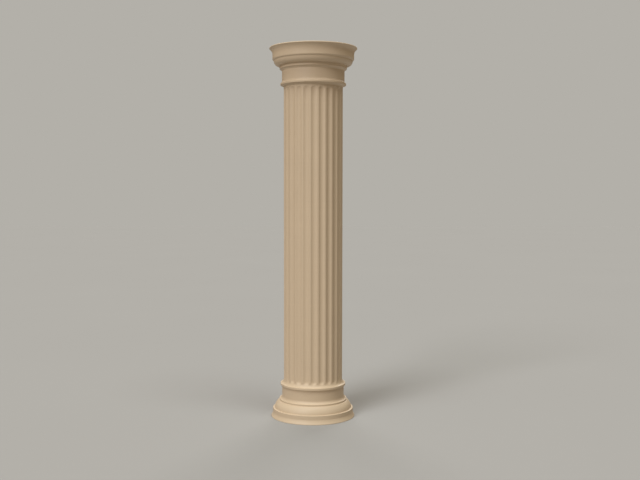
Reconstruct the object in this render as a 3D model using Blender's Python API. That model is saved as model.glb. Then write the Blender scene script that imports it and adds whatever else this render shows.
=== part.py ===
"""A desk-size model of a Roman Doric column, printed in one piece in matte beige plastic.

The column is one solid: a turned body, with the same run of mouldings at both ends, and
flutes with rounded ends sunk into its shaft. It stands on Z = 0, with its axis on Z.
"""

import math

import bmesh
import bpy
from mathutils import Matrix, Vector

MM = 0.001

# The whole column
HEIGHT = 200.0 * MM
SHAFT_RADIUS = 16.0 * MM

# What the mouldings at both ends share: how far they stand out, each from the one before it
NECK_PROJECTION = 0.9 * MM
RING_PROJECTION = 0.85 * MM
OVOLO_STEP = 0.4 * MM
COVE_QUIRK = 0.25 * MM

# The capital: the heights of its mouldings from the shaft up, and its own projections
CAPITAL_HOLLOW_HEIGHT = 1.4 * MM
CAPITAL_RING_HEIGHT = 0.95 * MM
CAPITAL_NECK_FLARE_HEIGHT = 1.3 * MM
CAPITAL_NECK_HEIGHT = 5.3 * MM
CAPITAL_COVE_HEIGHT = 1.1 * MM
CAPITAL_FILLET_HEIGHT = 1.7 * MM
CAPITAL_OVOLO_HEIGHT = 3.3 * MM
CAPITAL_FASCIA_HEIGHT = 3.7 * MM
CAPITAL_LIP_FLARE_HEIGHT = 2.2 * MM
CAPITAL_LIP_HEIGHT = 0.45 * MM
CAPITAL_RING_LEDGE = 0.7 * MM
CAPITAL_FILLET_PROJECTION = 1.3 * MM
CAPITAL_OVOLO_SPREAD = 2.9 * MM
CAPITAL_FASCIA_LEDGE = 0.55 * MM
CAPITAL_LIP_PROJECTION = 1.75 * MM

# The base: the heights of its mouldings from the shaft down, and its own projections
BASE_HOLLOW_HEIGHT = 2.05 * MM
BASE_RING_HEIGHT = 1.05 * MM
BASE_NECK_FLARE_HEIGHT = 1.3 * MM
BASE_NECK_HEIGHT = 4.6 * MM
BASE_COVE_HEIGHT = 1.5 * MM
BASE_FILLET_HEIGHT = 0.95 * MM
BASE_OVOLO_HEIGHT = 4.05 * MM
BASE_FASCIA_HEIGHT = 2.35 * MM
BASE_LIP_FLARE_HEIGHT = 2.1 * MM
BASE_LIP_HEIGHT = 0.3 * MM
BASE_RING_LEDGE = 0.1 * MM
BASE_FILLET_PROJECTION = 1.5 * MM
BASE_OVOLO_SPREAD = 2.2 * MM
BASE_FASCIA_LEDGE = 0.9 * MM
BASE_LIP_PROJECTION = 0.9 * MM

# How far each curve bows from its chord, as a part of the chord: below 0 it is hollow
NECK_FLARE_BOW = -0.1
COVE_BOW = -0.1
CAPITAL_OVOLO_BOW = 0.2
BASE_OVOLO_BOW = 0.1
LIP_FLARE_BOW = -0.05
HOLLOW_BOW = -0.19

# The flutes: channels of circular section, with fillets of plain shaft between them
FLUTE_COUNT = 24
FLUTE_WIDTH = 3.2 * MM
FLUTE_DEPTH = 0.65 * MM
CAPITAL_FLUTE_MARGIN = 0.3 * MM
BASE_FLUTE_MARGIN = -0.5 * MM

# How finely the round forms are faceted
STEPS_PER_FLUTE = 3
ARC_STEP = math.radians(23)
CUTTER_STEPS = 24
CUTTER_END_STEPS = 6
MERGE_DISTANCE = 0.01 * MM
SHARP_ANGLE = math.radians(28)

PLASTIC_COLOUR = (0.6, 0.44, 0.285, 1.0)
PLASTIC_ROUGHNESS = 0.55


class Profile:
    """A turned outline, drawn point by point, each as its radius and its distance from the end face."""

    def __init__(self):
        self.points = [Vector((0.0, 0.0))]

    def line_to(self, radius, rise=0.0):
        """Runs straight to a radius, while the distance grows by a rise."""
        self.points.append(Vector((radius, self.points[-1].y + rise)))

    def arc_to(self, radius, rise, bow):
        """Runs to a radius on an arc that bows by a part of its chord: below 0, towards the axis."""
        start = self.points[-1]
        end = Vector((radius, start.y + rise))
        chord = end - start
        sagitta = bow * chord.length
        arc_radius = (chord.length_squared / 4 + sagitta**2) / (2 * sagitta)
        outward = Vector((chord.y, -chord.x)).normalized()
        centre = (start + end) / 2 + outward * (sagitta - arc_radius)
        sweep = 4 * math.atan(2 * bow)
        steps = math.ceil(abs(sweep) / ARC_STEP)
        for step in range(1, steps):
            turn = Matrix.Rotation(sweep * step / steps, 2)
            self.points.append(centre + turn @ (start - centre))
        self.points.append(end)


def end_profile(
    lip_height,
    lip_projection,
    lip_flare_height,
    fascia_height,
    fascia_ledge,
    ovolo_height,
    ovolo_spread,
    ovolo_bow,
    fillet_projection,
    fillet_height,
    cove_height,
    neck_height,
    neck_flare_height,
    ring_height,
    ring_ledge,
    hollow_height,
):
    """The outline of the capital or the base, from the centre of its outer face to the shaft."""
    neck = SHAFT_RADIUS + NECK_PROJECTION
    ring = neck + RING_PROJECTION
    fillet = neck + fillet_projection
    ovolo = fillet + OVOLO_STEP
    fascia = ovolo + ovolo_spread + fascia_ledge
    lip = fascia + lip_projection

    profile = Profile()
    profile.line_to(lip)
    profile.line_to(lip, lip_height)
    profile.arc_to(fascia, lip_flare_height, LIP_FLARE_BOW)
    profile.line_to(fascia, fascia_height)
    profile.line_to(fascia - fascia_ledge)
    profile.arc_to(ovolo, ovolo_height, ovolo_bow)
    profile.line_to(fillet)
    profile.line_to(fillet, fillet_height)
    profile.line_to(fillet - COVE_QUIRK)
    profile.arc_to(neck, cove_height, COVE_BOW)
    profile.line_to(neck, neck_height)
    profile.arc_to(ring, neck_flare_height, NECK_FLARE_BOW)
    profile.line_to(ring, ring_height)
    profile.line_to(ring - ring_ledge)
    profile.arc_to(SHAFT_RADIUS, hollow_height, HOLLOW_BOW)
    return profile.points


def capital_profile():
    """The capital's outline, from the centre of the top face down to the shaft."""
    return end_profile(
        lip_height=CAPITAL_LIP_HEIGHT,
        lip_projection=CAPITAL_LIP_PROJECTION,
        lip_flare_height=CAPITAL_LIP_FLARE_HEIGHT,
        fascia_height=CAPITAL_FASCIA_HEIGHT,
        fascia_ledge=CAPITAL_FASCIA_LEDGE,
        ovolo_height=CAPITAL_OVOLO_HEIGHT,
        ovolo_spread=CAPITAL_OVOLO_SPREAD,
        ovolo_bow=CAPITAL_OVOLO_BOW,
        fillet_projection=CAPITAL_FILLET_PROJECTION,
        fillet_height=CAPITAL_FILLET_HEIGHT,
        cove_height=CAPITAL_COVE_HEIGHT,
        neck_height=CAPITAL_NECK_HEIGHT,
        neck_flare_height=CAPITAL_NECK_FLARE_HEIGHT,
        ring_height=CAPITAL_RING_HEIGHT,
        ring_ledge=CAPITAL_RING_LEDGE,
        hollow_height=CAPITAL_HOLLOW_HEIGHT,
    )


def base_profile():
    """The base's outline, from the centre of the underside up to the shaft."""
    return end_profile(
        lip_height=BASE_LIP_HEIGHT,
        lip_projection=BASE_LIP_PROJECTION,
        lip_flare_height=BASE_LIP_FLARE_HEIGHT,
        fascia_height=BASE_FASCIA_HEIGHT,
        fascia_ledge=BASE_FASCIA_LEDGE,
        ovolo_height=BASE_OVOLO_HEIGHT,
        ovolo_spread=BASE_OVOLO_SPREAD,
        ovolo_bow=BASE_OVOLO_BOW,
        fillet_projection=BASE_FILLET_PROJECTION,
        fillet_height=BASE_FILLET_HEIGHT,
        cove_height=BASE_COVE_HEIGHT,
        neck_height=BASE_NECK_HEIGHT,
        neck_flare_height=BASE_NECK_FLARE_HEIGHT,
        ring_height=BASE_RING_HEIGHT,
        ring_ledge=BASE_RING_LEDGE,
        hollow_height=BASE_HOLLOW_HEIGHT,
    )


def turned_mesh(name, outline, steps):
    """A closed mesh of revolution about Z, spun from an outline that starts and ends on the axis."""
    shape = bmesh.new()
    corners = [shape.verts.new((radius, 0.0, height)) for radius, height in outline]
    edges = [shape.edges.new(pair) for pair in zip(corners, corners[1:])]
    bmesh.ops.spin(
        shape,
        geom=corners + edges,
        axis=(0, 0, 1),
        angle=2 * math.pi,
        steps=steps,
        use_merge=True,
    )
    bmesh.ops.remove_doubles(shape, verts=shape.verts, dist=MERGE_DISTANCE)
    bmesh.ops.recalc_face_normals(shape, faces=shape.faces)
    mesh = bpy.data.meshes.new(name)
    shape.to_mesh(mesh)
    shape.free()
    return mesh


def rod_outline(radius, length):
    """The outline of a rod with a half sphere at each end, centred on the origin."""
    centre = length / 2 - radius
    top = [(0.0, length / 2)]
    for step in range(1, CUTTER_END_STEPS + 1):
        angle = math.pi / 2 * step / CUTTER_END_STEPS
        top.append((radius * math.sin(angle), centre + radius * math.cos(angle)))
    return top + [(across, -height) for across, height in reversed(top)]


def flute_cutter(lowest, highest):
    """One cutter for all the flutes: rods round the shaft that open it from lowest to highest."""
    half_width = FLUTE_WIDTH / 2
    sunk = FLUTE_DEPTH - (SHAFT_RADIUS - math.sqrt(SHAFT_RADIUS**2 - half_width**2))
    radius = (half_width**2 + sunk**2) / (2 * sunk)
    from_axis = SHAFT_RADIUS - FLUTE_DEPTH + radius
    open_radius = math.sqrt(radius**2 - (from_axis - SHAFT_RADIUS) ** 2)
    length = highest - lowest + 2 * (radius - open_radius)
    rod = turned_mesh("flute_rod", rod_outline(radius, length), CUTTER_STEPS)
    rod.transform(Matrix.Translation((from_axis, 0.0, (lowest + highest) / 2)))

    shape = bmesh.new()
    for _ in range(FLUTE_COUNT):
        shape.from_mesh(rod)
        rod.transform(Matrix.Rotation(2 * math.pi / FLUTE_COUNT, 4, "Z"))
    mesh = bpy.data.meshes.new("flute_cutter")
    shape.to_mesh(mesh)
    shape.free()
    bpy.data.meshes.remove(rod)

    cutter = bpy.data.objects.new("flute_cutter", mesh)
    cutter.hide_render = True
    cutter.display_type = "WIRE"
    bpy.context.scene.collection.objects.link(cutter)
    return cutter


def plastic():
    """The matte beige plastic that the whole column is printed in."""
    material = bpy.data.materials.new("beige_plastic")
    material.use_nodes = True
    shader = material.node_tree.nodes["Principled BSDF"]
    shader.inputs["Base Color"].default_value = PLASTIC_COLOUR
    shader.inputs["Roughness"].default_value = PLASTIC_ROUGHNESS
    shader.inputs["Metallic"].default_value = 0.0
    material.diffuse_color = PLASTIC_COLOUR
    return material


def column():
    """The column: its turned body, with a facet's edge in the middle of each fillet, and its flutes."""
    capital = capital_profile()
    base = base_profile()
    outline = [(point.x, HEIGHT - point.y) for point in capital]
    outline += [(point.x, point.y) for point in reversed(base)]

    steps = STEPS_PER_FLUTE * FLUTE_COUNT
    mesh = turned_mesh("column", outline, steps)
    mesh.transform(Matrix.Rotation(math.pi / steps, 4, "Z"))
    mesh.materials.append(plastic())
    mesh.shade_smooth()
    mesh.set_sharp_from_angle(angle=SHARP_ANGLE)
    body = bpy.data.objects.new("column", mesh)
    bpy.context.scene.collection.objects.link(body)

    cut = body.modifiers.new("flutes", "BOOLEAN")
    cut.operation = "DIFFERENCE"
    cut.solver = "EXACT"
    lowest = base[-1].y + BASE_FLUTE_MARGIN
    highest = HEIGHT - capital[-1].y - CAPITAL_FLUTE_MARGIN
    cut.object = flute_cutter(lowest, highest)


def main():
    for old in list(bpy.data.objects):
        bpy.data.objects.remove(old)
    column()


if __name__ == "__main__":
    main()
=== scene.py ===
"""A desk model of a Roman Doric column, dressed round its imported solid.

The column is one printed piece, so one finely turned and fluted mesh stands for the solid, in
matte beige plastic with the fine layers of a print. It stands on a plain pale floor.
"""

import logging
import math
from dataclasses import dataclass, field
from enum import Enum
from typing import Mapping, Sequence, Union

import bpy
import numpy as np
from mathutils import Matrix, Vector


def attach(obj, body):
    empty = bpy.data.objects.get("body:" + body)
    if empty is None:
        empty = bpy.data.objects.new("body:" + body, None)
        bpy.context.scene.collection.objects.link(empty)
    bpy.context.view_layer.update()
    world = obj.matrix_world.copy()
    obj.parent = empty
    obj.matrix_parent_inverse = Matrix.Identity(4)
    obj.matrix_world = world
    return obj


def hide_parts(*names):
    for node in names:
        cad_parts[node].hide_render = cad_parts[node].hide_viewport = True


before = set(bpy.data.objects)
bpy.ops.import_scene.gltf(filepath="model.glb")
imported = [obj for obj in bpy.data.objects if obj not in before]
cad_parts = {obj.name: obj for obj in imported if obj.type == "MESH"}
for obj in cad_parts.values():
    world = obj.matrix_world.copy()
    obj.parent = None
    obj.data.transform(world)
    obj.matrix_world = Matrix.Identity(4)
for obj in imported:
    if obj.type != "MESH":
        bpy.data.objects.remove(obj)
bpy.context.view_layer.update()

MM = 0.001
SHAFT_RADIUS = 16.0 * MM
SHAFT_OVERLAP = 0.3 * MM

# The photograph: its width in pixels, and how far it was taken round from the front flute
PHOTO_WIDTH = 640
FLUTE_TURN = math.radians(2.25)
SENSOR_WIDTH = 36.0

log = logging.getLogger("column")

Colour = tuple[float, float, float]
Operand = Union["Value", float]
Feed = Union["Value", float, Sequence[float]]


class Maths(Enum):
    """The operations of a Math node that the finishes use."""

    ADD = "ADD"
    SUBTRACT = "SUBTRACT"
    MULTIPLY = "MULTIPLY"
    DIVIDE = "DIVIDE"
    SINE = "SINE"
    POWER = "POWER"
    FLOOR = "FLOOR"


class Value:
    """A number that varies over a surface: one output socket, on which operators add Math nodes."""

    def __init__(self, tree: "ShaderTree", socket: bpy.types.NodeSocket) -> None:
        """Wraps a socket.

        Args:
            tree: the shader tree that the socket belongs to.
            socket: the output socket.
        """
        self.tree = tree
        self.socket = socket

    def __add__(self, other: Operand) -> "Value":
        """This value plus another."""
        return self.tree.maths(Maths.ADD, self, other)

    def __radd__(self, other: Operand) -> "Value":
        """Another value plus this one."""
        return self.tree.maths(Maths.ADD, other, self)

    def __sub__(self, other: Operand) -> "Value":
        """This value less another."""
        return self.tree.maths(Maths.SUBTRACT, self, other)

    def __rsub__(self, other: Operand) -> "Value":
        """Another value less this one."""
        return self.tree.maths(Maths.SUBTRACT, other, self)

    def __mul__(self, other: Operand) -> "Value":
        """This value times another."""
        return self.tree.maths(Maths.MULTIPLY, self, other)

    def __rmul__(self, other: Operand) -> "Value":
        """Another value times this one."""
        return self.tree.maths(Maths.MULTIPLY, other, self)

    def __truediv__(self, other: Operand) -> "Value":
        """This value divided by another."""
        return self.tree.maths(Maths.DIVIDE, self, other)

    def __rtruediv__(self, other: Operand) -> "Value":
        """Another value divided by this one."""
        return self.tree.maths(Maths.DIVIDE, other, self)


class ShaderTree:
    """The nodes of one material or of the world, with one shader at their end."""

    def __init__(
        self,
        owner: bpy.types.Material | bpy.types.World,
        shader: str = "Principled BSDF",
    ) -> None:
        """Starts on the nodes that a new material or world has.

        Args:
            owner: the material or world.
            shader: the name of its shader node.
        """
        owner.use_nodes = True
        self.tree = owner.node_tree
        self.shader = self.tree.nodes[shader]

    def node(
        self,
        kind: str,
        settings: Mapping[str, object] | None = None,
        inputs: Mapping[str | int, Feed] | None = None,
        output: str | int = 0,
    ) -> Value:
        """Adds a node.

        Args:
            kind: the node's type.
            settings: its settings, such as an operation, which are set first.
            inputs: the value or link of each socket, by the socket's name or index.
            output: the name or index of the output socket that is wanted.

        Returns:
            The output socket, wrapped.
        """
        made = self.tree.nodes.new(kind)
        for name, setting in (settings or {}).items():
            setattr(made, name, setting)
        for key, feed in (inputs or {}).items():
            self.feed(self.socket(made.inputs, key), feed)
        return Value(self, self.socket(made.outputs, output))

    @staticmethod
    def socket(
        sockets: bpy.types.NodeInputs | bpy.types.NodeOutputs,
        key: str | int,
    ) -> bpy.types.NodeSocket:
        """Finds a node's socket.

        Args:
            sockets: the node's inputs or outputs.
            key: the socket's index, identifier or name.

        Returns:
            The socket.
        """
        if isinstance(key, int):
            return sockets[key]
        return next((found for found in sockets if found.identifier == key), None) or sockets[key]

    def feed(self, socket: bpy.types.NodeSocket, feed: Feed) -> None:
        """Links a value to a socket, or sets the socket's own value.

        Args:
            socket: the input socket.
            feed: a wrapped socket to link, or a number or several.
        """
        if isinstance(feed, Value):
            self.tree.links.new(feed.socket, socket)
        else:
            socket.default_value = feed

    def maths(self, operation: Maths, *values: Operand) -> Value:
        """Adds a Math node.

        Args:
            operation: what it works out.
            values: its operands, in order.

        Returns:
            The result.
        """
        return self.node("ShaderNodeMath", {"operation": operation.value}, dict(enumerate(values)))

    def tinted(self, colour: Value | Colour, factor: Operand) -> Value:
        """Scales a colour by a factor, as Vector Math does.

        Args:
            colour: the colour.
            factor: how bright it becomes, where 1 keeps it.

        Returns:
            The scaled colour.
        """
        return self.node(
            "ShaderNodeVectorMath",
            {"operation": "SCALE"},
            {"Vector": colour, "Scale": factor},
        )

    def blended(self, first: Value | Colour, second: Value | Colour, share: Operand) -> Value:
        """Mixes two colours.

        Args:
            first: the colour where the share is 0.
            second: the colour where the share is 1.
            share: how much of the second there is.

        Returns:
            The mixed colour.
        """
        feeds = [feed if isinstance(feed, Value) else (*feed, 1.0) for feed in (first, second)]
        return self.node(
            "ShaderNodeMix",
            {"data_type": "RGBA"},
            {"Factor": share, "A_Color": feeds[0], "B_Color": feeds[1]},
            "Result_Color",
        )

    def noise(self, position: Value, scale: float, detail: float) -> Value:
        """Adds a noise texture of numbers from 0 to 1, about 0.5.

        Args:
            position: where it is read.
            scale: how many of its lumps there are in a metre.
            detail: how many finer octaves it has.

        Returns:
            The noise.
        """
        return self.node(
            "ShaderNodeTexNoise",
            {},
            {"Vector": position, "Scale": scale, "Detail": detail},
            "Fac",
        )


@dataclass(frozen=True)
class PrintedPlastic:
    """Matte beige plastic, laid down in fine layers."""

    colour: Colour = (0.575, 0.445, 0.305)
    mottle: float = 0.05
    layer_tint: float = 0.02
    roughness: float = 0.55
    roughness_mottle: float = 0.16
    roughness_grain: float = 0.1
    ior: float = 1.48
    cloud_scale: float = 90.0
    cloud_detail: float = 3.0
    grain_scale: float = 2600.0
    grain_detail: float = 2.0
    grain_depth: float = 0.01 * MM
    layer_height: float = 0.2 * MM
    layer_depth: float = 0.006 * MM
    strand_width: float = 0.45 * MM
    strand_depth: float = 0.02 * MM
    flatness_power: float = 8.0

    def relief(self, tree: ShaderTree, place: Value, height: Value, grain: Value) -> Value:
        """Raises the layers' edges on the sides, and the strands side by side on the flat faces.

        Args:
            tree: the material's nodes.
            place: the point on the column.
            height: its height.
            grain: a fine noise there.

        Returns:
            How far the surface is raised, in metres.
        """
        facing = tree.node("ShaderNodeTexCoord", output="Normal")
        upward = tree.node("ShaderNodeSeparateXYZ", {}, {"Vector": facing}, "Z")
        flat = tree.maths(Maths.POWER, upward * upward, self.flatness_power)
        layers = tree.maths(Maths.SINE, height * (2 * math.pi / self.layer_height))
        x = tree.node("ShaderNodeSeparateXYZ", {}, {"Vector": place}, "X")
        y = tree.node("ShaderNodeSeparateXYZ", {}, {"Vector": place}, "Y")
        strands = tree.maths(Maths.SINE, (x + y) * (math.sqrt(2) * math.pi / self.strand_width))
        on_sides = (1 - flat) * layers * (self.layer_depth / 2)
        on_ends = flat * strands * (self.strand_depth / 2)
        return on_sides + on_ends + (grain - 0.5) * self.grain_depth

    def material(self) -> bpy.types.Material:
        """Builds the plastic's nodes.

        Returns:
            The material.
        """
        material = bpy.data.materials.new("beige_plastic")
        tree = ShaderTree(material)
        place = tree.node("ShaderNodeTexCoord", output="Object")
        height = tree.node("ShaderNodeSeparateXYZ", {}, {"Vector": place}, "Z")

        cloud = tree.noise(place, self.cloud_scale, self.cloud_detail)
        grain = tree.noise(place, self.grain_scale, self.grain_detail)
        layer = tree.maths(Maths.FLOOR, height / self.layer_height)
        own_tone = tree.node(
            "ShaderNodeTexWhiteNoise",
            {"noise_dimensions": "1D"},
            {"W": layer},
            "Value",
        )
        tone = 1 + (cloud - 0.5) * self.mottle + (own_tone - 0.5) * self.layer_tint
        tree.feed(tree.shader.inputs["Base Color"], tree.tinted(self.colour, tone))
        rough = self.roughness + (cloud - 0.5) * self.roughness_mottle
        tree.feed(tree.shader.inputs["Roughness"], rough + (grain - 0.5) * self.roughness_grain)

        raised = self.relief(tree, place, height, grain)
        bump = tree.node(
            "ShaderNodeBump",
            {},
            {"Height": raised, "Distance": 1.0, "Strength": 1.0},
            "Normal",
        )
        tree.feed(tree.shader.inputs["Normal"], bump)
        tree.shader.inputs["Metallic"].default_value = 0.0
        tree.shader.inputs["IOR"].default_value = self.ior
        material.diffuse_color = (*self.colour, 1.0)
        return material


@dataclass(frozen=True)
class PaleGround:
    """The matte floor of the studio."""

    colour: Colour = (0.335, 0.325, 0.312)
    roughness: float = 0.85
    sheen: float = 0.0
    mottle: float = 0.03
    cloud_scale: float = 6.0
    cloud_detail: float = 3.0

    def material(self) -> bpy.types.Material:
        """Builds the floor's nodes.

        Returns:
            The material.
        """
        material = bpy.data.materials.new("pale_ground")
        tree = ShaderTree(material)
        place = tree.node("ShaderNodeTexCoord", output="Object")
        cloud = tree.noise(place, self.cloud_scale, self.cloud_detail)
        tone = 1 + (cloud - 0.5) * self.mottle
        tree.feed(tree.shader.inputs["Base Color"], tree.tinted(self.colour, tone))
        tree.shader.inputs["Roughness"].default_value = self.roughness
        tree.shader.inputs["Specular IOR Level"].default_value = self.sheen
        return material


@dataclass
class Outline:
    """A turned outline, drawn edge by edge from the axis.

    Each of its points is a radius and a distance from the end of the column.
    """

    ease_steps: int = 3
    hold: float = 0.05 * MM
    trim_limit: float = 0.4
    axis_margin: float = 0.5 * MM
    bend_step: float = math.radians(9)
    runs: list[np.ndarray] = field(default_factory=list)
    eases: list[float] = field(default_factory=list)
    tip: np.ndarray = field(default_factory=lambda: np.zeros(2))

    def run_to(self, radius: float, rise: float, bow: float = 0.0, ease: float = 0.0) -> None:
        """Runs to a radius and further from the end, straight or on an arc.

        Args:
            radius: the radius reached.
            rise: how much further from the end it reaches.
            bow: how far the arc bows from its chord, as a part of the chord: below 0 it is hollow.
            ease: how far before and after the reached corner it is rounded.
        """
        start = self.tip
        end = np.array((radius, start[1] + rise))
        self.runs.append(np.array([start, end]) if bow == 0 else self.arc(start, end, bow))
        self.eases.append(ease)
        self.tip = end

    def arc(self, start: np.ndarray, end: np.ndarray, bow: float) -> np.ndarray:
        """The points of a circular arc.

        Args:
            start: its first point.
            end: its last point.
            bow: how far it bows outwards from its chord, as a part of the chord.

        Returns:
            The points, one in each row.
        """
        chord = end - start
        length = float(np.hypot(*chord))
        sagitta = bow * length
        radius = (length**2 / 4 + sagitta**2) / (2 * sagitta)
        outward = np.array((chord[1], -chord[0])) / length
        centre = (start + end) / 2 + outward * (sagitta - radius)
        sweep = 4 * math.atan(2 * bow)
        steps = max(2, math.ceil(abs(sweep) / self.bend_step))
        points = []
        for step in range(steps + 1):
            angle = sweep * step / steps
            turn = np.array(((math.cos(angle), -math.sin(angle)), (math.sin(angle), math.cos(angle))))
            points.append(centre + turn @ (start - centre))
        return np.array(points)

    def trimmed(self, run: np.ndarray, before: float, after: float) -> np.ndarray:
        """A run with its two ends cut back, and with a point held close to each end.

        Args:
            run: the run's points.
            before: how much is cut off its start.
            after: how much is cut off its end.

        Returns:
            The points of what is left.
        """
        along = np.concatenate(([0.0], np.cumsum(np.hypot(*np.diff(run, axis=0).T))))
        most = along[-1] * self.trim_limit
        first = min(before, most)
        last = along[-1] - min(after, most)
        kept = [first, last]
        if last - first > 4 * self.hold:
            kept += [first + self.hold, last - self.hold]
        kept += [float(at) for at in along if first + 2 * self.hold < at < last - 2 * self.hold]
        kept.sort()
        return np.array([[np.interp(at, along, run[:, axis]) for axis in range(2)] for at in kept])

    def points(self) -> np.ndarray:
        """Rounds the corners.

        Returns:
            The whole outline's points, without those on the axis.
        """
        outline: list[np.ndarray] = []
        for index, run in enumerate(self.runs):
            before = self.eases[index - 1] if index else 0.0
            after = self.eases[index]
            kept = self.trimmed(run, before, after)
            if index and before:
                start, corner, end = outline[-1], run[0], kept[0]
                for step in range(1, self.ease_steps):
                    part = step / self.ease_steps
                    pull = 2 * part * (1 - part) * corner
                    outline.append((1 - part) ** 2 * start + pull + part**2 * end)
            outline.extend(kept if before or not index else kept[1:])
        return np.array([point for point in outline if point[0] > self.axis_margin])


@dataclass
class EndMouldings:
    """The run of mouldings at one end of the column, from its outer face to the shaft."""

    lip_radius: float
    lip_height: float
    lip_flare_height: float
    fascia_radius: float
    fascia_height: float
    fascia_ledge: float
    ovolo_radius: float
    ovolo_height: float
    fillet_radius: float
    fillet_height: float
    cove_height: float
    neck_height: float
    neck_flare_height: float
    ring_height: float
    ring_ledge: float
    shaft_flare_height: float
    fascia_ease: float
    ovolo_bow: float
    cove_bow: float
    lip_ease: float
    neck_radius: float = 16.9 * MM
    ring_radius: float = 17.75 * MM
    shaft_radius: float = SHAFT_RADIUS
    cove_quirk: float = 0.25 * MM
    lip_flare_bow: float = -0.1
    neck_flare_bow: float = -0.1
    shaft_flare_bow: float = -0.19
    lip_bevel: float = 0.0
    ledge_slant: float = 0.0
    flare_ease: float = 0.08 * MM
    fine_ease: float = 0.12 * MM
    inner_ease: float = 0.08 * MM

    def outline(self) -> np.ndarray:
        """Draws the mouldings.

        Returns:
            The outline's points, as radius and distance from the end.
        """
        drawn = Outline()
        drawn.run_to(self.lip_radius - self.lip_bevel, 0.0, ease=self.lip_ease)
        drawn.run_to(self.lip_radius, self.lip_height, ease=self.fine_ease)
        drawn.run_to(self.fascia_radius, self.lip_flare_height, self.lip_flare_bow, self.flare_ease)
        drawn.run_to(self.fascia_radius, self.fascia_height, ease=self.fascia_ease)
        drawn.run_to(self.fascia_radius - self.fascia_ledge, self.ledge_slant, ease=self.inner_ease)
        drawn.run_to(self.ovolo_radius, self.ovolo_height, self.ovolo_bow, self.fine_ease)
        drawn.run_to(self.fillet_radius, 0.0, ease=self.inner_ease)
        drawn.run_to(self.fillet_radius, self.fillet_height, ease=self.fine_ease)
        drawn.run_to(self.fillet_radius - self.cove_quirk, 0.0, ease=self.inner_ease)
        drawn.run_to(self.neck_radius, self.cove_height, self.cove_bow, self.inner_ease)
        drawn.run_to(self.neck_radius, self.neck_height, ease=self.inner_ease)
        drawn.run_to(self.ring_radius, self.neck_flare_height, self.neck_flare_bow, self.fine_ease)
        drawn.run_to(self.ring_radius, self.ring_height, ease=self.fine_ease)
        drawn.run_to(self.ring_radius - self.ring_ledge, 0.0, ease=self.inner_ease)
        drawn.run_to(self.shaft_radius, self.shaft_flare_height, self.shaft_flare_bow, self.inner_ease)
        drawn.run_to(self.shaft_radius, SHAFT_OVERLAP)
        return drawn.points()


@dataclass
class Flutes:
    """The channels round the shaft, of circular section and with round ends."""

    count: int = 24
    width: float = 3.2 * MM
    depth: float = 0.65 * MM
    shaft_radius: float = SHAFT_RADIUS
    low_margin: float = -0.6 * MM
    high_margin: float = 0.3 * MM
    arris: float = 0.035 * MM
    arris_offset: float = 0.12 * MM
    arris_limit: float = 30.0
    bed_offsets: tuple[float, float] = (0.55 * MM, 1.05 * MM)
    end_reach: float = 1.3
    end_rows: int = 14
    middle_rows: int = 7

    def section(self) -> tuple[float, float]:
        """The circle that the channels are cut with.

        Returns:
            Its radius, and how far its centre is from the column's axis.
        """
        half_width = self.width / 2
        sunk = self.depth - (self.shaft_radius - math.sqrt(self.shaft_radius**2 - half_width**2))
        radius = (half_width**2 + sunk**2) / (2 * sunk)
        return radius, self.shaft_radius - self.depth + radius

    def angles(self) -> np.ndarray:
        """Where the mesh's edges run up the shaft.

        Returns:
            The angles round the axis.
        """
        edge = math.asin(self.width / 2 / self.shaft_radius) * self.shaft_radius
        side = [*self.bed_offsets, edge - self.arris_offset, edge, edge + self.arris_offset]
        offsets = [-across for across in reversed(side)] + [0.0, *side]
        offsets.append(math.pi * self.shaft_radius / self.count)
        turns = np.arange(self.count)[:, None] * 2 * math.pi / self.count
        return (turns + np.array(offsets)[None, :] / self.shaft_radius).ravel()

    def radii(
        self,
        radius: float,
        height: float,
        angles: np.ndarray,
        lowest: float,
        highest: float,
    ) -> np.ndarray:
        """How far the surface is from the axis at a height.

        Args:
            radius: the plain surface's radius there.
            height: the height.
            angles: the angles round the axis.
            lowest: the flutes' lower ends.
            highest: the flutes' upper ends.

        Returns:
            The radius at each angle.
        """
        rod, centre = self.section()
        if radius > centre:
            return np.full(angles.shape, radius)
        open_radius = math.sqrt(rod**2 - (centre - self.shaft_radius) ** 2)
        beyond = max(lowest + open_radius - height, height - highest + open_radius, 0.0)
        period = 2 * math.pi / self.count
        across = (angles + period / 2) % period - period / 2
        reach = rod**2 - beyond**2 - (centre * np.sin(across)) ** 2
        channel = centre * np.cos(across) - np.sqrt(np.maximum(reach, 0.0))
        gap = np.clip((radius - channel) / self.arris, -self.arris_limit, self.arris_limit)
        return radius - self.arris * np.log1p(np.exp(gap))

    def heights(self, lowest: float, highest: float) -> np.ndarray:
        """The rows that follow the flutes' round ends.

        Args:
            lowest: the flutes' lower ends.
            highest: the flutes' upper ends.

        Returns:
            The heights, from the lowest.
        """
        reach = self.width / 2 * self.end_reach
        bottom = [lowest + reach * step / self.end_rows for step in range(1, self.end_rows + 1)]
        middle = list(np.linspace(lowest + reach, highest - reach, self.middle_rows + 2)[1:-1])
        return np.array(bottom + middle + [lowest + highest - height for height in reversed(bottom)])


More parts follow.
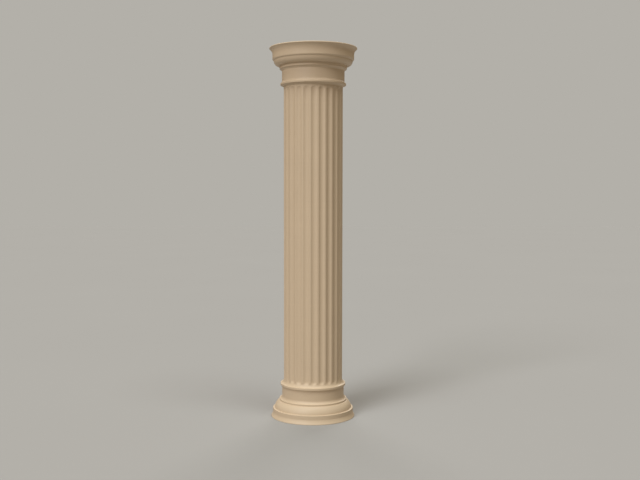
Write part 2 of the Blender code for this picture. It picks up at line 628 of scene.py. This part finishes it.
@dataclass
class Column:
    """The column: one piece, turned and fluted."""

    height: float = 200.0 * MM
    capital: EndMouldings = field(
        default_factory=lambda: EndMouldings(
            lip_radius=23.77 * MM,
            lip_height=0.45 * MM,
            lip_bevel=0.22 * MM,
            lip_flare_height=2.2 * MM,
            lip_flare_bow=-0.07,
            flare_ease=0.9 * MM,
            fascia_radius=22.05 * MM,
            fascia_height=3.7 * MM,
            fascia_ledge=0.75 * MM,
            ledge_slant=0.55 * MM,
            fascia_ease=0.5 * MM,
            ovolo_radius=18.6 * MM,
            ovolo_height=2.75 * MM,
            ovolo_bow=0.22,
            fillet_radius=18.2 * MM,
            fillet_height=1.7 * MM,
            cove_height=1.1 * MM,
            cove_bow=-0.08,
            neck_height=5.3 * MM,
            neck_flare_height=1.3 * MM,
            ring_height=0.95 * MM,
            ring_ledge=0.7 * MM,
            shaft_flare_height=1.4 * MM,
            lip_ease=0.1 * MM,
        )
    )
    base: EndMouldings = field(
        default_factory=lambda: EndMouldings(
            lip_radius=22.78 * MM,
            lip_height=0.3 * MM,
            lip_flare_height=2.1 * MM,
            lip_flare_bow=-0.05,
            fascia_radius=21.9 * MM,
            fascia_height=2.35 * MM,
            fascia_ledge=0.9 * MM,
            fascia_ease=0.3 * MM,
            ovolo_radius=18.8 * MM,
            ovolo_height=4.05 * MM,
            ovolo_bow=0.1,
            fillet_radius=18.4 * MM,
            fillet_height=0.95 * MM,
            cove_height=1.5 * MM,
            cove_bow=-0.15,
            neck_height=4.6 * MM,
            neck_flare_height=1.3 * MM,
            ring_height=1.05 * MM,
            ring_ledge=0.1 * MM,
            shaft_flare_height=2.05 * MM,
            lip_ease=0.1 * MM,
        )
    )
    flutes: Flutes = field(default_factory=Flutes)
    finish: PrintedPlastic = field(default_factory=PrintedPlastic)
    sharp_angle: float = math.radians(60)

    def rings(self) -> list[np.ndarray]:
        """Works out the surface row by row, from the underside to the top.

        Returns:
            The points of each ring, as rows of x, y and z.
        """
        lower = self.base.outline()
        upper = self.capital.outline()
        shaft_low = lower[-1][1] - SHAFT_OVERLAP
        shaft_high = self.height - upper[-1][1] + SHAFT_OVERLAP
        flute_low = shaft_low + self.flutes.low_margin
        flute_high = shaft_high - self.flutes.high_margin
        shaft_rows = self.flutes.heights(shaft_low, shaft_high)
        rows = [(radius, height) for radius, height in lower[:-1]]
        rows += [(self.flutes.shaft_radius, height) for height in shaft_rows]
        rows += [(radius, self.height - away) for radius, away in reversed(upper[:-1])]

        angles = self.flutes.angles()
        rings = []
        for radius, height in rows:
            radii = self.flutes.radii(radius, height, angles, flute_low, flute_high)
            heights = np.full(angles.shape, height)
            rings.append(np.stack((radii * np.cos(angles), radii * np.sin(angles), heights), 1))
        return rings

    def mesh(self) -> bpy.types.Mesh:
        """Joins the rings into a closed skin.

        Returns:
            The mesh.
        """
        rings = self.rings()
        around = len(rings[0])
        faces = []
        for row in range(len(rings) - 1):
            for side in range(around):
                beside = (side + 1) % around
                low, high = row * around, (row + 1) * around
                faces.append((low + side, low + beside, high + beside, high + side))
        last = (len(rings) - 1) * around
        faces.append(tuple(reversed(range(around))))
        faces.append(tuple(range(last, last + around)))
        mesh = bpy.data.meshes.new("fluted_column")
        mesh.from_pydata(np.concatenate(rings).tolist(), [], faces)
        mesh.update()
        mesh.shade_smooth()
        mesh.set_sharp_from_angle(angle=self.sharp_angle)
        return mesh

    def build(self) -> bpy.types.Object:
        """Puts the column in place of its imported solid.

        Returns:
            The column's object.
        """
        piece = bpy.data.objects.new("fluted_column", self.mesh())
        bpy.context.scene.collection.objects.link(piece)
        piece.data.materials.append(self.finish.material())
        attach(piece, "root")
        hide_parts("column")
        return piece


@dataclass(frozen=True)
class Lamp:
    """A soft lamp.

    Its azimuth is how far round to the camera's right it hangs and its elevation how far up, both
    in degrees.
    """

    name: str
    azimuth: float
    elevation: float
    strength: float
    colour: Colour = (1.0, 1.0, 1.0)
    softness: float = math.radians(23.5)


@dataclass
class Studio:
    """The floor, the lights and the camera."""

    floor_size: float = 6.0
    distance: float = 474.5 * MM
    eye_height: float = 120.3 * MM
    aside: float = 6.9
    focal: float = 870.4
    near_clip: float = 10.0 * MM
    pitch: float = math.radians(2.885)
    roll: float = math.radians(0.08)
    lamp_aim: float = 100.0 * MM
    ambient: Colour = (0.21, 0.147, 0.075)
    backdrop: Colour = (0.451, 0.434, 0.397)
    lamps: tuple[Lamp, ...] = (
        Lamp("key", -35, 34, 1.5, (0.99, 1.0, 1.04)),
        Lamp("high_left", -35, 65, 0.95, (0.92, 1.0, 1.0)),
        Lamp("high_right", 45, 65, 0.7, (0.92, 1.0, 1.0)),
        Lamp("overhead", 0, 78, 0.5, (0.95, 1.0, 1.0)),
        Lamp("back_right", 164, 36, 0.85),
        Lamp("back_left", -164, 42, 0.6),
    )
    finish: PaleGround = field(default_factory=PaleGround)

    def floor(self) -> bpy.types.Object:
        """Lays the floor.

        Returns:
            The floor's object.
        """
        half = self.floor_size / 2
        mesh = bpy.data.meshes.new("floor")
        corners = [(-half, -half, 0.0), (half, -half, 0.0), (half, half, 0.0), (-half, half, 0.0)]
        mesh.from_pydata(corners, [], [(0, 1, 2, 3)])
        mesh.materials.append(self.finish.material())
        floor = bpy.data.objects.new("floor", mesh)
        bpy.context.scene.collection.objects.link(floor)
        return floor

    def camera(self) -> bpy.types.Object:
        """Sets the camera up as the photograph's was.

        Returns:
            The camera's object.
        """
        lens = bpy.data.cameras.new("camera")
        lens.sensor_width = SENSOR_WIDTH
        lens.lens = self.focal / PHOTO_WIDTH * SENSOR_WIDTH
        lens.clip_start = self.near_clip
        camera = bpy.data.objects.new("camera", lens)
        bpy.context.scene.collection.objects.link(camera)
        spot = Vector((self.aside / self.focal * self.distance, -self.distance, self.eye_height))
        tilt = Matrix.Rotation(math.pi / 2 - self.pitch, 4, "X")
        facing = tilt @ Matrix.Rotation(self.roll, 4, "Z")
        camera.matrix_world = Matrix.Rotation(-FLUTE_TURN, 4, "Z") @ Matrix.Translation(spot) @ facing
        bpy.context.scene.camera = camera
        return camera

    def hang(self, lamp: Lamp) -> bpy.types.Object:
        """Hangs a far soft lamp, aimed at the column.

        Args:
            lamp: the lamp's place and light.

        Returns:
            The lamp's object.
        """
        light = bpy.data.lights.new(lamp.name, "SUN")
        light.angle = lamp.softness
        light.energy = lamp.strength
        light.color = lamp.colour
        hung = bpy.data.objects.new(lamp.name, light)
        bpy.context.scene.collection.objects.link(hung)
        around = math.radians(lamp.azimuth) - FLUTE_TURN
        up = math.radians(lamp.elevation)
        level = math.cos(up)
        out = Vector((math.sin(around) * level, -math.cos(around) * level, math.sin(up)))
        hung.location = Vector((0.0, 0.0, self.lamp_aim)) + out
        hung.rotation_euler = out.to_track_quat("Z", "Y").to_euler()
        return hung

    def surroundings(self) -> None:
        """Lights the column a little from all round, and shows the camera a pale backdrop."""
        world = bpy.data.worlds.new("studio")
        tree = ShaderTree(world, "Background")
        seen = tree.node("ShaderNodeLightPath", output="Is Camera Ray")
        tree.feed(tree.shader.inputs["Color"], tree.blended(self.ambient, self.backdrop, seen))
        bpy.context.scene.world = world

    def build(self) -> None:
        """Sets up the whole studio."""
        self.floor()
        self.camera()
        self.surroundings()
        for lamp in self.lamps:
            self.hang(lamp)
        bpy.context.scene.view_settings.view_transform = "Standard"


def main() -> None:
    """Builds the column and its studio, and logs the column's face count."""
    logging.basicConfig(level=logging.INFO, format="%(name)s: %(message)s")
    Studio().build()
    piece = Column().build()
    log.info("%s: %d faces", piece.name, len(piece.data.polygons))


if __name__ == "__main__":
    main()
